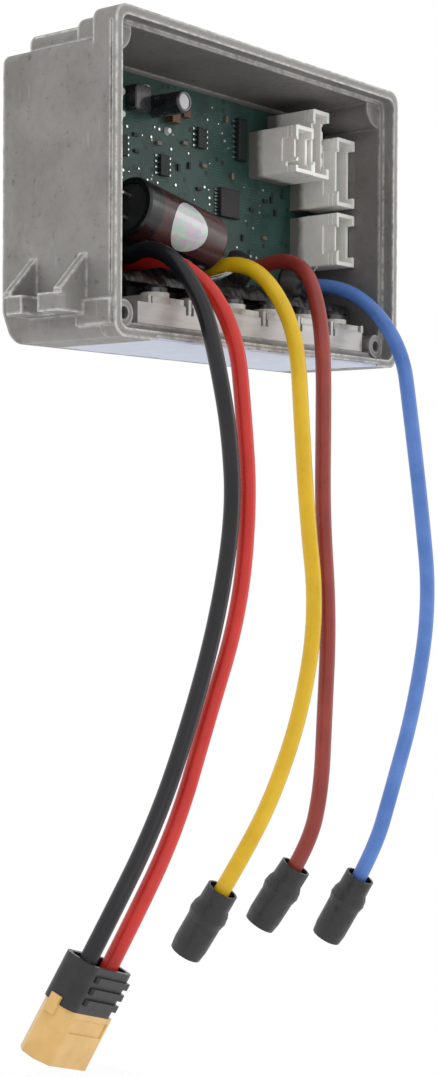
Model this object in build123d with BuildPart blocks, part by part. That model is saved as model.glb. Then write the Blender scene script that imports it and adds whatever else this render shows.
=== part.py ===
from build123d import *
import math
import os
import random

os.makedirs("parts", exist_ok=True)

# Electronic speed controller: an open cast metal box, its opening facing -Y, with the leads
# hanging from the board. Origin at the centre of the box's underside, +Z up.

# ---------------------------------------------------------------- driving dimensions (mm)
BOX_W = 100.0
BOX_D = 32.0
BOX_H = 66.0
FRONT = -BOX_D / 2
BACK = BOX_D / 2
RIM_R = 3.0
CAVITY_HALF = 46.6
CAVITY_FLOOR = 3.4
CAVITY_ROOF = 63.0
BOARD_FRONT = 8.0
BOARD_T = 1.6
BOARD_BACK = BOARD_FRONT + BOARD_T
BOARD_HALF = 46.2
BOARD_LOW = 4.2
BOARD_TOP = 61.3
FOOT_REACH = 58.0
FOOT_HALF = 8.0
FOOT_LOW = 4.8
FOOT_T = 3.7
SLOT_X = 54.5
SLOT_R = 2.25
BOSS_X = 44.8
BOSS_Z = 5.1
BOSS_R = 2.75
BOSS_HOLE_R = 1.3
BOSS_HOLE_DEEP = 12.0
COLUMN_X = 46.5
COLUMN_Z = 62.2
COLUMN_R = 4.6
PAD_T = 0.6
BAR_FRONT = -12.0
BAR_BACK = 3.5
BAR_LOW = CAVITY_FLOOR
BAR_TOP = 8.1
FET_COUNT = 6
FET_PITCH = 12.85
FET_FIRST_X = -28.9
FET_X = [FET_FIRST_X + FET_PITCH * i for i in range(FET_COUNT)]
CLAMP_Y = -7.7
WIRE_D = 3.5
PLUG_W = 15.4
PLUG_T = 7.8
CAP_LEN = 9.2
PLUG_LEN = 20.0


def facing(y):
    """Plane at this y that looks towards the opening: local x is X, local y is Z."""
    return Plane(origin=(0, y, 0), x_dir=(1, 0, 0), z_dir=(0, -1, 0))


def along(origin, axis, side):
    """Plane holding an axis: local x is the side direction, local y runs along the axis."""
    a = Vector(*axis).normalized()
    s = Vector(*side)
    s = (s - a * s.dot(a)).normalized()
    return Plane(origin=origin, x_dir=s, z_dir=s.cross(a))


def block(x0, x1, y0, y1, z0, z1, mode=Mode.ADD):
    """A box between two corners, inside the running part."""
    with Locations(((x0 + x1) / 2, (y0 + y1) / 2, (z0 + z1) / 2)):
        Box(x1 - x0, y1 - y0, z1 - z0, mode=mode)


def save(builder, label):
    builder.part.label = label
    export_step(builder.part, "parts/" + label + ".step")


# ---------------------------------------------------------------- housing
with BuildPart() as housing:
    # plain side walls at full depth, then the roof stepping down from the rim to the back
    for half, top, y0, y1, corner in [
        (BOX_W / 2, BOX_H, FRONT, -9.5, RIM_R),
        (48.7, 65.1, -9.5, -4.0, RIM_R),
        (47.6, 64.1, -4.0, 10.5, 2.4),
        (BOX_W / 2, 60.4, -12.0, BACK, 2.6),
    ]:
        with BuildSketch(facing(y1)):
            with Locations((0, top / 2)):
                RectangleRounded(2 * half, top, corner)
        extrude(amount=y1 - y0)
    # low raised panel on the roof
    with BuildSketch(Plane.XY.offset(63.6)):
        with Locations((0, 3.2)):
            RectangleRounded(84.0, 11.0, 2.5)
    extrude(amount=1.0)
    # shallow line round the side walls, just behind the rim's edge
    for side in (-1, 1):
        x0, x1 = sorted((side * 49.75, side * 51.0))
        block(x0, x1, -14.75, -14.35, 8.5, 62.5, mode=Mode.SUBTRACT)
    # ledge low on each side wall, in front of the foot
    for side in (-1, 1):
        x0, x1 = sorted((side * 49.0, side * 50.9))
        block(x0, x1, -15.2, -5.8, 2.4, 7.5)
    # feet with an open slot, and their gussets
    for side in (-1, 1):
        with BuildSketch(Plane.XY.offset(FOOT_LOW)):
            with Locations((side * (47.2 + FOOT_REACH) / 2, 0)):
                RectangleRounded(FOOT_REACH - 47.2, 2 * FOOT_HALF, 2.4)
            with Locations((side * 49.0, 0)):
                Rectangle(3.6, 2 * FOOT_HALF)
            with Locations((side * SLOT_X, 0)):
                Circle(SLOT_R, mode=Mode.SUBTRACT)
            with Locations((side * (SLOT_X + 2.5), 0)):
                Rectangle(5.0, 2 * SLOT_R, mode=Mode.SUBTRACT)
        extrude(amount=FOOT_T)
        for gusset_back in (FOOT_HALF, -FOOT_HALF + 2.0):
            with BuildSketch(facing(gusset_back)):
                with BuildLine():
                    Polyline(
                        (side * 47.6, 8.2),
                        (side * 57.3, 8.2),
                        (side * 57.3, 9.4),
                        (side * 49.9, 17.0),
                        (side * 47.6, 17.0),
                        close=True,
                    )
                make_face()
            extrude(amount=2.0)
    # cover rebate, cavity and the pocket behind the board
    with BuildSketch(facing(-13.0)):
        with Locations((0, (1.8 + 64.0) / 2)):
            RectangleRounded(2 * 48.2, 64.0 - 1.8, 2.0)
    extrude(amount=4.0, mode=Mode.SUBTRACT)
    with BuildSketch(facing(BOARD_BACK)):
        with Locations((0, (CAVITY_FLOOR + CAVITY_ROOF) / 2)):
            RectangleRounded(2 * CAVITY_HALF, CAVITY_ROOF - CAVITY_FLOOR, 1.2)
    extrude(amount=BOARD_BACK + 13.5, mode=Mode.SUBTRACT)
    with BuildSketch(facing(13.2)):
        with Locations((0, 32.0)):
            RectangleRounded(87.6, 52.0, 2.0)
    extrude(amount=13.2 - BOARD_BACK + 0.5, mode=Mode.SUBTRACT)
    # columns in the top corners
    with BuildSketch(facing(BOARD_BACK)):
        with Locations((-COLUMN_X, COLUMN_Z), (COLUMN_X, COLUMN_Z)):
            Circle(COLUMN_R)
        with Locations((0, 50.0)):
            Rectangle(2 * CAVITY_HALF + 1.0, 2 * 13.4, mode=Mode.INTERSECT)
    extrude(amount=BOARD_BACK + 12.5)
    # cover screw bosses in the bottom corners
    with BuildSketch(facing(BOARD_BACK)):
        with Locations((-BOSS_X, BOSS_Z), (BOSS_X, BOSS_Z)):
            Circle(BOSS_R)
    extrude(amount=BOARD_BACK + 13.5)
    with BuildSketch(facing(-13.5 + BOSS_HOLE_DEEP)):
        with Locations((-BOSS_X, BOSS_Z), (BOSS_X, BOSS_Z)):
            Circle(BOSS_HOLE_R)
    extrude(amount=BOSS_HOLE_DEEP + 1.0, mode=Mode.SUBTRACT)
    # drafted lower back edge
    with BuildSketch(Plane.YZ.offset(-60.0)):
        with BuildLine():
            Polyline((13.2, -0.5), (17.0, -0.5), (17.0, 6.6), (16.0, 6.6), (13.2, 0.0), close=True)
        make_face()
    extrude(amount=120.0, mode=Mode.SUBTRACT)
    # shallow pocket for the pad under the floor
    block(-37.5, 42.0, -16.5, 12.6, -0.5, PAD_T, mode=Mode.SUBTRACT)
save(housing, "housing")

with BuildPart() as thermal_pad:
    block(-37.3, 41.8, -15.8, 12.4, 0.0, PAD_T)
    fillet(thermal_pad.edges().filter_by(Axis.Z), radius=0.8)
save(thermal_pad, "thermal_pad")

# ---------------------------------------------------------------- board
LEAD_Z = 10.4
LEAD_X = [x + dx for x in FET_X for dx in (-2.54, 0.0, 2.54)]
with BuildPart() as main_pcb:
    with BuildSketch(facing(BOARD_BACK)):
        with Locations((0, (BOARD_LOW + BOARD_TOP) / 2)):
            Rectangle(2 * BOARD_HALF, BOARD_TOP - BOARD_LOW)
        with Locations((-COLUMN_X, COLUMN_Z), (COLUMN_X, COLUMN_Z)):
            Circle(COLUMN_R + 0.25, mode=Mode.SUBTRACT)
        with Locations((-BOSS_X, BOSS_Z), (BOSS_X, BOSS_Z)):
            Circle(BOSS_R + 0.25, mode=Mode.SUBTRACT)
        with Locations(*[(x, LEAD_Z) for x in LEAD_X]):
            Rectangle(1.1, 0.9, mode=Mode.SUBTRACT)
    extrude(amount=BOARD_T)
save(main_pcb, "main_pcb")

# processor, a square package with pins on its left and right sides
MCU_X, MCU_Z = 14.35, 37.2
MCU_HALF = 3.5
with BuildPart() as mcu:
    block(MCU_X - MCU_HALF, MCU_X + MCU_HALF, 6.75, 7.9, MCU_Z - 3.3, MCU_Z + 3.3)
    fillet(mcu.edges().group_by(Axis.Y)[0], radius=0.2)
save(mcu, "mcu")
with BuildPart() as mcu_pins:
    for side in (-1, 1):
        for row in range(8):
            z = MCU_Z + (row - 3.5) * 0.8
            x0, x1 = sorted((MCU_X + side * MCU_HALF, MCU_X + side * (MCU_HALF + 1.0)))
            block(x0, x1, 7.72, 8.0, z - 0.17, z + 0.17)
save(mcu_pins, "mcu_pins")

# logic packages with a pin row on both long sides
LOGIC = [(-31.6, 53.4), (-22.6, 45.0), (4.4, 50.8), (-8.6, 42.6)]
with BuildPart() as logic_ics:
    for x, z in LOGIC:
        block(x - 1.5, x + 1.5, 7.0, 7.9, z - 2.3, z + 2.3)
save(logic_ics, "logic_ics")
with BuildPart() as logic_ic_pins:
    for x, z in LOGIC:
        for side in (-1, 1):
            for row in range(4):
                zz = z + (row - 1.5) * 1.27
                x0, x1 = sorted((x + side * 1.5, x + side * 2.6))
                block(x0, x1, 7.7, 8.0, zz - 0.21, zz + 0.21)
save(logic_ic_pins, "logic_ic_pins")

# driver package, long and narrow
with BuildPart() as driver_ic:
    block(17.2, 20.4, 6.5, 7.9, 47.8, 57.6)
    chamfer(driver_ic.edges().group_by(Axis.Y)[0], length=0.25)
save(driver_ic, "driver_ic")
with BuildPart() as driver_ic_pins:
    for x0, x1 in ((16.3, 17.2), (20.4, 21.3)):
        for row in range(8):
            zz = 52.7 + (row - 3.5) * 1.2
            block(x0, x1, 7.7, 8.0, zz - 0.2, zz + 0.2)
save(driver_ic_pins, "driver_ic_pins")

# tantalum and diode parts beside the small capacitor
with BuildPart() as tantalum_capacitors:
    block(-7.4, -4.6, 6.0, 8.0, 52.4, 56.6)
    block(-2.9, -0.6, 6.4, 8.0, 54.4, 56.8)
save(tantalum_capacitors, "tantalum_capacitors")

# ---------------------------------------------------------------- capacitors and choke
BULK_A = Vector(-28.5, 0.4, 30.0)
BULK_B = Vector(-1.5, 0.4, 25.0)
BULK_R = 6.7
BULK_AXIS = (BULK_B - BULK_A).normalized()
BULK_LEN = (BULK_B - BULK_A).length
bulk_plane = along(BULK_A, BULK_AXIS, (0, -1, 0))
with BuildPart() as bulk_capacitor_can:
    with BuildSketch(bulk_plane):
        with BuildLine():
            Polyline(
                (0, 0.9), (6.4, 0.9), (6.4, BULK_LEN - 1.6), (5.2, BULK_LEN - 0.3), (0, BULK_LEN - 0.3),
                close=True,
            )
        make_face()
    revolve(axis=Axis(BULK_A, BULK_AXIS))
save(bulk_capacitor_can, "bulk_capacitor_can")
with BuildPart() as bulk_capacitor_sleeve:
    with BuildSketch(bulk_plane):
        with BuildLine():
            Polyline(
                (5.2, 0.0), (6.3, 0.0), (BULK_R, 0.5), (BULK_R, BULK_LEN - 1.6), (5.4, BULK_LEN),
                (4.6, BULK_LEN), (4.6, BULK_LEN - 0.3), (5.2, BULK_LEN - 0.3), (6.4, BULK_LEN - 1.6), (6.4, 0.5), (5.2, 0.5),
                close=True,
            )
        make_face()
    revolve(axis=Axis(BULK_A, BULK_AXIS))
save(bulk_capacitor_sleeve, "bulk_capacitor_sleeve")
with BuildPart() as bulk_capacitor_seal:
    with BuildSketch(bulk_plane):
        with BuildLine():
            Polyline((0, 0.25), (5.1, 0.25), (5.1, 0.9), (0, 0.9), close=True)
        make_face()
    revolve(axis=Axis(BULK_A, BULK_AXIS))
save(bulk_capacitor_seal, "bulk_capacitor_seal")
with BuildPart() as bulk_capacitor_leads:
    for dz in (-2.5, 2.5):
        start = BULK_A + BULK_AXIS.cross(Vector(0, 1, 0)) * dz + BULK_AXIS * 0.25
        bend = start - BULK_AXIS * 2.2
        with BuildLine() as lead_path:
            Polyline(
                (start.X, start.Y, start.Z),
                (bend.X, bend.Y, bend.Z),
                (bend.X - 1.0, bend.Y + 1.0, bend.Z),
                (bend.X - 1.0, BOARD_FRONT, bend.Z),
            )
        with BuildSketch(Plane(origin=lead_path.line @ 0, z_dir=lead_path.line % 0)):
            Circle(0.4)
        sweep(transition=Transition.RIGHT)
save(bulk_capacitor_leads, "bulk_capacitor_leads")
# round label on the sleeve
STICKER_AT = 13.4
STICKER_R = 5.7
sticker_out = BULK_AXIS.cross(Vector(0, 1, 0)).cross(BULK_AXIS) * -1.0
sticker_out = (sticker_out.normalized() + BULK_AXIS.cross(Vector(0, 1, 0)) * -0.17).normalized()
with BuildPart() as capacitor_sticker:
    with BuildSketch(bulk_plane):
        with BuildLine():
            Polyline((BULK_R, 4.0), (BULK_R + 0.08, 4.0), (BULK_R + 0.08, 24.0), (BULK_R, 24.0), close=True)
        make_face()
    revolve(axis=Axis(BULK_A, BULK_AXIS))
    with BuildSketch(Plane(origin=BULK_A + BULK_AXIS * STICKER_AT, x_dir=BULK_AXIS, z_dir=sticker_out)):
        Ellipse(STICKER_R, STICKER_R - 0.5)
    extrude(amount=9.0, mode=Mode.INTERSECT)
save(capacitor_sticker, "capacitor_sticker")

SMALL_X, SMALL_Z = -11.3, 55.2
small_plane = along((SMALL_X, BOARD_FRONT, SMALL_Z), (0, -1, 0), (1, 0, 0))
with BuildPart() as small_capacitor_can:
    with BuildSketch(small_plane):
        with BuildLine():
            Polyline((0, 0.5), (2.3, 0.5), (2.3, 8.4), (1.9, 8.75), (0, 8.75), close=True)
        make_face()
    revolve(axis=Axis((SMALL_X, BOARD_FRONT, SMALL_Z), (0, -1, 0)))
save(small_capacitor_can, "small_capacitor_can")
with BuildPart() as small_capacitor_sleeve:
    with BuildSketch(small_plane):
        with BuildLine():
            Polyline((0, 0), (2.5, 0), (2.5, 8.55), (2.1, 8.9), (1.7, 8.9), (1.7, 8.75), (1.9, 8.75),
                     (2.3, 8.4), (2.3, 0.5), (0, 0.5), close=True)
        make_face()
    revolve(axis=Axis((SMALL_X, BOARD_FRONT, SMALL_Z), (0, -1, 0)))
save(small_capacitor_sleeve, "small_capacitor_sleeve")

with BuildPart() as inductor:
    block(-21.0, -15.8, 4.8, 8.0, 52.7, 58.3)
    fillet(inductor.edges().filter_by(Axis.Y), radius=0.9)
    chamfer(inductor.faces().sort_by(Axis.Y)[0].edges(), length=0.25)
save(inductor, "inductor")
with BuildPart() as glue_blobs:
    for x, z, r in [(-23.0, 56.4, 1.4), (-14.2, 58.9, 0.9), (-22.6, 51.6, 1.2), (-7.0, 50.6, 1.0)]:
        with BuildSketch(facing(BOARD_FRONT)):
            with Locations((x, z)):
                Circle(r)
        extrude(amount=0.8 * r, taper=28)
save(glue_blobs, "glue_blobs")

# ---------------------------------------------------------------- pin headers
HEADER_BASE_Y = 5.0
PIN_TIP_Y = -0.5
PIN_PITCH = 2.5
HEADERS = {
    "header_a": (22.6, 29.5, 44.5, 55.4, -6.0, 4),
    "header_b": (29.8, 36.2, 44.5, 60.3, -5.6, 6),
    "header_c": (39.0, 46.3, 38.9, 55.1, -6.0, 6),
    "header_d": (39.0, 46.3, 24.7, 37.1, -6.0, 4),
}
for header_name, (hx0, hx1, hz0, hz1, hy, pins) in HEADERS.items():
    with BuildPart() as header:
        block(hx0, hx1, hy, BOARD_FRONT, hz0, hz1)
        fillet(header.edges().filter_by(Axis.Y), radius=0.35)
        block(hx0 + 0.9, hx1 - 0.9, hy - 1, HEADER_BASE_Y, hz0 + 0.9, hz1 - 0.9, mode=Mode.SUBTRACT)
        # lowered middle of the wall on the +X side
        block(hx1 - 1.0, hx1 + 1, hy - 1, hy + 1.9, hz0 + 2.4, hz1 - 2.4, mode=Mode.SUBTRACT)
        # the -X wall is thinner and lower between its ends, and is grooved near its rim
        block(hx0 - 1, hx0 + 0.3, hy - 1, hy + 4.2, hz0 + 2.8, hz1 - 2.8, mode=Mode.SUBTRACT)
        block(hx0 - 1, hx0 + 1.0, hy - 1, hy + 0.8, hz0 + 3.4, hz1 - 3.4, mode=Mode.SUBTRACT)
        block(hx0 - 1, hx0 + 0.22, hy + 0.9, hy + 1.3, hz0 - 1, hz1 + 1, mode=Mode.SUBTRACT)
        block(hx0 - 1, hx0 + 0.22, hy + 2.1, hy + 2.5, hz0 - 1, hz1 + 1, mode=Mode.SUBTRACT)
        if header_name == "header_a":
            block(hx0 - 1, hx0 + 1.0, hy - 1, hy + 3.0, hz0 + 1.5, hz0 + 2.5, mode=Mode.SUBTRACT)
        if header_name == "header_b":
            for k in range(4):
                zz = hz0 + 2.0 + 3.2 * k
                block(hx1 - 0.45, hx1 + 1, hy + 1.8, HEADER_BASE_Y, zz, zz + 1.3, mode=Mode.SUBTRACT)
    save(header, header_name)
with BuildPart() as header_pins:
    for hx0, hx1, hz0, hz1, hy, pins in HEADERS.values():
        xm = (hx0 + hx1) / 2
        for k in range(pins):
            zz = (hz0 + hz1) / 2 + (k - (pins - 1) / 2) * PIN_PITCH
            block(xm - 0.32, xm + 0.32, PIN_TIP_Y, HEADER_BASE_Y, zz - 0.32, zz + 0.32)
save(header_pins, "header_pins")

# ---------------------------------------------------------------- small parts on the board
random.seed(11)
TAKEN = [
    (9.2, 19.6, 32.0, 42.2), (-35.2, -28.0, 50.2, 56.6), (-26.0, -19.2, 41.8, 48.2),
    (0.8, 8.0, 47.6, 54.0), (15.8, 21.8, 47.2, 58.2), (-11.8, -5.4, 39.8, 45.4), (8.8, 13.2, 43.8, 49.6),
    (-8.7, 1.2, 50.8, 58.4), (-14.6, -8.0, 51.9, 58.5), (-21.8, -15.0, 51.9, 59.1),
    (-24.6, -21.0, 54.6, 58.0), (-24.0, -21.2, 50.2, 53.0), (-8.2, -5.8, 49.4, 51.8),
    (-16.0, -11.8, 57.6, 61.0), (21.8, 47.0, 44.0, 61.3), (38.2, 47.0, 24.0, 56.0),
    (-34.0, 1.0, 17.5, 36.5), (-0.8, 5.0, 15.0, 22.4), (16.8, 22.8, 15.0, 24.4),
    (34.6, 40.6, 15.0, 24.0), (-42.5, -36.5, 48.0, 61.3), (-33.0, -30.0, 24.0, 34.0),
]


def free(x, z, half):
    """True where a small part of this half size keeps clear of what already stands there."""
    for x0, x1, z0, z1 in TAKEN:
        if x0 - half < x < x1 + half and z0 - half < z < z1 + half:
            return False
    TAKEN.append((x - half, x + half, z - half, z + half))
    return True


def scatter(count, x0, x1, z0, z1, half):
    """Seeded places for small parts, clear of each other."""
    places = []
    for _ in range(4000):
        if len(places) == count:
            break
        x = round(random.uniform(x0, x1), 1)
        z = round(random.uniform(z0, z1), 1)
        if free(x, z, half):
            places.append((x, z))
    return places


resistors = scatter(14, -34.0, 34.0, 24.0, 58.0, 1.15)
ceramics = scatter(10, -34.0, 34.0, 24.0, 58.0, 1.15)
dots = scatter(52, -30.0, 30.0, 21.0, 58.5, 0.75)
with BuildPart() as smd_resistors:
    for k, (x, z) in enumerate(resistors):
        half_x, half_z = (0.75, 0.38) if k % 2 else (0.38, 0.75)
        block(x - half_x, x + half_x, 7.55, 8.0, z - half_z, z + half_z)
save(smd_resistors, "smd_resistors")
with BuildPart() as smd_capacitors:
    for k, (x, z) in enumerate(ceramics):
        half_x, half_z = (0.75, 0.4) if k % 3 else (0.4, 0.75)
        block(x - half_x, x + half_x, 7.4, 8.0, z - half_z, z + half_z)
save(smd_capacitors, "smd_capacitors")
with BuildPart() as solder_dots:
    for k, (x, z) in enumerate(dots):
        with BuildSketch(facing(BOARD_FRONT)):
            with Locations((x, z)):
                Circle(0.26 + 0.07 * (k % 3))
        extrude(amount=0.25, taper=20)
save(solder_dots, "solder_dots")

# ---------------------------------------------------------------- power stage
RIB_W = 0.9
with BuildPart() as heatsink_bar:
    block(-39.0, 41.25, BAR_FRONT, BAR_BACK, BAR_LOW, BAR_TOP)
    # upstanding ribs between the devices, with a narrow channel on each side
    for i in range(FET_COUNT - 1):
        x = FET_X[i] + FET_PITCH / 2
        block(x - 1.3, x + 1.3, BAR_FRONT - 1, BAR_BACK + 1, BAR_TOP - 1.6, BAR_TOP + 1, mode=Mode.SUBTRACT)
        block(x - RIB_W / 2, x + RIB_W / 2, BAR_FRONT, BAR_BACK, BAR_TOP - 1.6, BAR_TOP + 1.7)
    for x in (FET_X[0] - FET_PITCH / 2, FET_X[-1] + FET_PITCH / 2 - 0.6):
        block(x - RIB_W / 2, x + RIB_W / 2, BAR_FRONT, BAR_BACK, BAR_TOP, BAR_TOP + 1.7)
    fillet(heatsink_bar.edges().filter_by(Axis.X).group_by(Axis.Y)[0].sort_by(Axis.Z)[0], radius=0.4)
    # tapped holes for the clamping screws
    with BuildSketch(Plane.XY.offset(BAR_TOP + 1)):
        with Locations(*[(x, CLAMP_Y) for x in FET_X]):
            Circle(1.25)
    extrude(amount=-4.6, mode=Mode.SUBTRACT)
save(heatsink_bar, "heatsink_bar")

with BuildPart() as insulating_pads:
    for x in FET_X:
        block(x - 5.2, x + 5.2, -11.8, BAR_BACK, BAR_TOP, BAR_TOP + 0.3)
    with BuildSketch(Plane.XY.offset(BAR_TOP - 1)):
        with Locations(*[(x, CLAMP_Y) for x in FET_X]):
            Circle(1.6)
    extrude(amount=3.0, mode=Mode.SUBTRACT)
save(insulating_pads, "insulating_pads")

TAB_LOW, TAB_TOP = BAR_TOP + 0.3, BAR_TOP + 1.6
BODY_TOP = 12.9
with BuildPart() as mosfet_tabs:
    for x in FET_X:
        with BuildSketch(Plane.XY.offset(TAB_LOW)):
            with Locations((x, (-11.5 + 4.0) / 2)):
                Rectangle(10.0, 15.5)
            with Locations((x - 5.0, -9.9), (x + 5.0, -9.9)):
                Rectangle(1.6, 1.5, mode=Mode.SUBTRACT)
            with Locations((x, CLAMP_Y)):
                Circle(1.8, mode=Mode.SUBTRACT)
        extrude(amount=TAB_TOP - TAB_LOW)
save(mosfet_tabs, "mosfet_tabs")
with BuildPart() as mosfet_bodies:
    for x in FET_X:
        block(x - 5.0, x + 5.0, -4.5, 4.2, TAB_TOP, BODY_TOP)
    chamfer(mosfet_bodies.edges().filter_by(Axis.X).group_by(Axis.Y)[0].group_by(Axis.Z)[-1], length=0.7)
save(mosfet_bodies, "mosfet_bodies")
with BuildPart() as mosfet_leads:
    for x in LEAD_X:
        block(x - 0.4, x + 0.4, 4.2, 11.2, LEAD_Z - 0.25, LEAD_Z + 0.25)
        block(x - 0.65, x + 0.65, 4.2, 6.0, LEAD_Z - 0.25, LEAD_Z + 0.25)
save(mosfet_leads, "mosfet_leads")
with BuildPart() as clamp_washers:
    with BuildSketch(Plane.XY.offset(TAB_TOP)):
        with Locations(*[(x, CLAMP_Y) for x in FET_X]):
            Circle(3.1)
            Circle(1.6, mode=Mode.SUBTRACT)
    extrude(amount=1.2)
save(clamp_washers, "clamp_washers")
HEAD_LOW = TAB_TOP + 1.2
with BuildPart() as clamp_screws:
    for x in FET_X:
        screw_plane = along((x, CLAMP_Y, 0), (0, 0, 1), (1, 0, 0))
        with BuildSketch(screw_plane):
            with BuildLine():
                Polyline(
                    (0, BAR_TOP - 3.2), (1.25, BAR_TOP - 3.2), (1.25, HEAD_LOW), (2.7, HEAD_LOW),
                    (2.7, HEAD_LOW + 1.0), (2.0, HEAD_LOW + 1.7), (0, HEAD_LOW + 1.9), close=True,
                )
            make_face()
        revolve(axis=Axis((x, CLAMP_Y, 0), (0, 0, 1)))
        with BuildSketch(Plane.XY.offset(HEAD_LOW + 0.9)):
            with Locations((x, CLAMP_Y)):
                Rectangle(0.55, 2.9)
                Rectangle(2.9, 0.55)
        extrude(amount=2.0, mode=Mode.SUBTRACT)
save(clamp_screws, "clamp_screws")

# lacquer poured over the power devices, lumpy along its front
POT_FRONT = [(-37.0, -6.2), (-31.5, -7.3), (-27.5, -6.4), (-21.0, -6.0), (-14.0, -7.2), (-7.0, -6.6),
             (0.0, -7.4), (7.0, -6.7), (14.0, -7.5), (21.5, -6.6), (29.0, -7.4), (37.0, -6.6), (44.0, -5.4)]
with BuildPart() as potting:
    with BuildSketch(Plane.XY.offset(BODY_TOP)):
        with BuildLine():
            Polyline((44.0, -5.4), (44.0, BOARD_FRONT), (-37.0, BOARD_FRONT), (-37.0, -6.2))
            Spline(*POT_FRONT)
        make_face()
    extrude(amount=3.3)
    chamfer(potting.faces().sort_by(Axis.Z)[-1].edges(), length=0.7)
save(potting, "potting")


# ---------------------------------------------------------------- leads
def route_radii(points):
    """Bend radius at each inner point: 0.45 of the shorter run over the tangent of half the turn."""
    radii = []
    for a, b, c in zip(points, points[1:], points[2:]):
        run_in = Vector(*b) - Vector(*a)
        run_out = Vector(*c) - Vector(*b)
        half_turn = math.radians(run_in.get_angle(run_out)) / 2
        radii.append(0.45 * min(run_in.length, run_out.length) / math.tan(half_turn))
    return radii


def lead(points, label):
    """A silicone covered lead: straight runs joined by tangent arcs."""
    points = [tuple(p) for p in points]
    radii = route_radii(points)
    runs = [(Vector(*b) - Vector(*a)).length for a, b in zip(points, points[1:])]
    with BuildPart() as tube:
        with BuildLine() as path:
            FilletPolyline(*points, radius=radii)
        with BuildSketch(Plane(origin=path.line @ 0, z_dir=path.line % 0)):
            Circle(WIRE_D / 2)
        sweep()
    length = sum(e.length for e in path.edges())
    share = tube.part.volume / (math.pi * (WIRE_D / 2) ** 2 * length)
    print(label, "length", round(length, 1), "runs", [round(r, 1) for r in runs],
          "radii", [round(r, 1) for r in radii], "volume share", round(share, 4))
    save(tube, label)


# plug on the power pair: its width, its axis towards the mating end, and its rear centre
PLUG_REAR = Vector(-63.5, -25.0, -120.3)
PLUG_AXIS = Vector(-0.355, 0.298, -0.886).normalized()
PLUG_SIDE = Vector(0.935, 0.139, -0.327)
PLUG_SIDE = (PLUG_SIDE - PLUG_AXIS * PLUG_SIDE.dot(PLUG_AXIS)).normalized()
plug_plane = Plane(origin=PLUG_REAR, x_dir=PLUG_SIDE, z_dir=PLUG_AXIS)
PLUG_PIN = 3.9


def plug_point(side, depth):
    return tuple(PLUG_REAR + PLUG_SIDE * side + PLUG_AXIS * depth)


# shrink sleeves on the three phase leads: rear centre and direction towards the tip
SLEEVES = {
    "yellow": (Vector(-23.2, -22.3, -113.3), Vector(-0.21, 0.459, -0.864).normalized(), 15.8),
    "brown": (Vector(2.2, -22.3, -112.2), Vector(-0.255, 0.46, -0.85).normalized(), 15.2),
    "blue": (Vector(26.9, -22.3, -118.1), Vector(-0.16, 0.455, -0.876).normalized(), 16.6),
}
CUP = 5.0


def sleeve_point(name, depth):
    rear, axis, length = SLEEVES[name]
    return tuple(rear + axis * depth)


ROOTS = [(-29.2, 18.9), (-24.5, 18.7), (0.7, 18.9), (18.4, 22.2), (40.4, 20.6)]
lead([(-29.2, 8, 18.9), (-29.2, 1.0, 18.9), (-29.9, -7.0, 20.8), (-29.4, -14.3, 17.2), (-27.9, -20.2, 8.2),
      (-27.2, -23.4, -4.0), (-25.2, -25.2, -19.0), (-23.8, -25.2, -35.5), (-28.9, -25.0, -57.5),
      (-38.1, -25.0, -79.0), (-48.4, -25.2, -97.0), plug_point(-PLUG_PIN, -6.0),
      plug_point(-PLUG_PIN, CAP_LEN)], "wire_black")
lead([(-24.5, 8, 18.7), (-24.5, 0.5, 18.7), (-24.5, -8.3, 18.9), (-20.9, -16.6, 12.4), (-19.3, -22.2, 1.0),
      (-20.0, -24.6, -14.0), (-18.4, -25.0, -32.5), (-21.4, -25.0, -55.5), (-32.0, -25.0, -77.5),
      (-41.4, -25.0, -98.0), plug_point(PLUG_PIN, -7.0), plug_point(PLUG_PIN, CAP_LEN)], "wire_red")
lead([(0.7, 8, 18.9), (0.7, 2.5, 18.9), (0.4, -4.5, 21.0), (1.3, -12.0, 18.6), (2.3, -18.2, 10.6),
      (1.4, -22.6, 1.0), (-0.6, -25.2, -14.5), (0.5, -26.0, -35.0), (4.4, -26.0, -56.5),
      (-0.9, -26.0, -77.5), (-11.3, -26.2, -95.0), sleeve_point("yellow", -8.0),
      sleeve_point("yellow", CUP)], "wire_yellow")
lead([(18.4, 8, 22.2), (18.4, 1.5, 22.2), (18.0, -5.5, 23.6), (16.9, -13.2, 20.8), (14.2, -18.8, 11.6),
      (11.0, -22.6, 0.0), (7.2, -25.4, -15.5), (6.2, -26.0, -35.0), (8.9, -26.0, -58.0),
      (7.4, -26.0, -80.0), (5.8, -26.4, -95.5), sleeve_point("brown", -5.5),
      sleeve_point("brown", CUP)], "wire_brown")
lead([(40.4, 8, 20.6), (40.4, -2.6, 20.6), (41.7, -13.8, 15.4), (41.4, -23.4, 3.4), (40.4, -26.3, -11.0),
      (45.2, -26.4, -33.0), (50.0, -26.0, -56.0), (43.7, -26.0, -80.0), (33.4, -26.4, -99.0),
      sleeve_point("blue", -7.0), sleeve_point("blue", CUP)], "wire_blue")

with BuildPart() as wire_solder_joints:
    for x, z in ROOTS:
        with BuildSketch(facing(BOARD_FRONT)):
            with Locations((x, z)):
                Circle(2.4)
                Circle(WIRE_D / 2, mode=Mode.SUBTRACT)
        extrude(amount=0.8)
save(wire_solder_joints, "wire_solder_joints")

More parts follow.
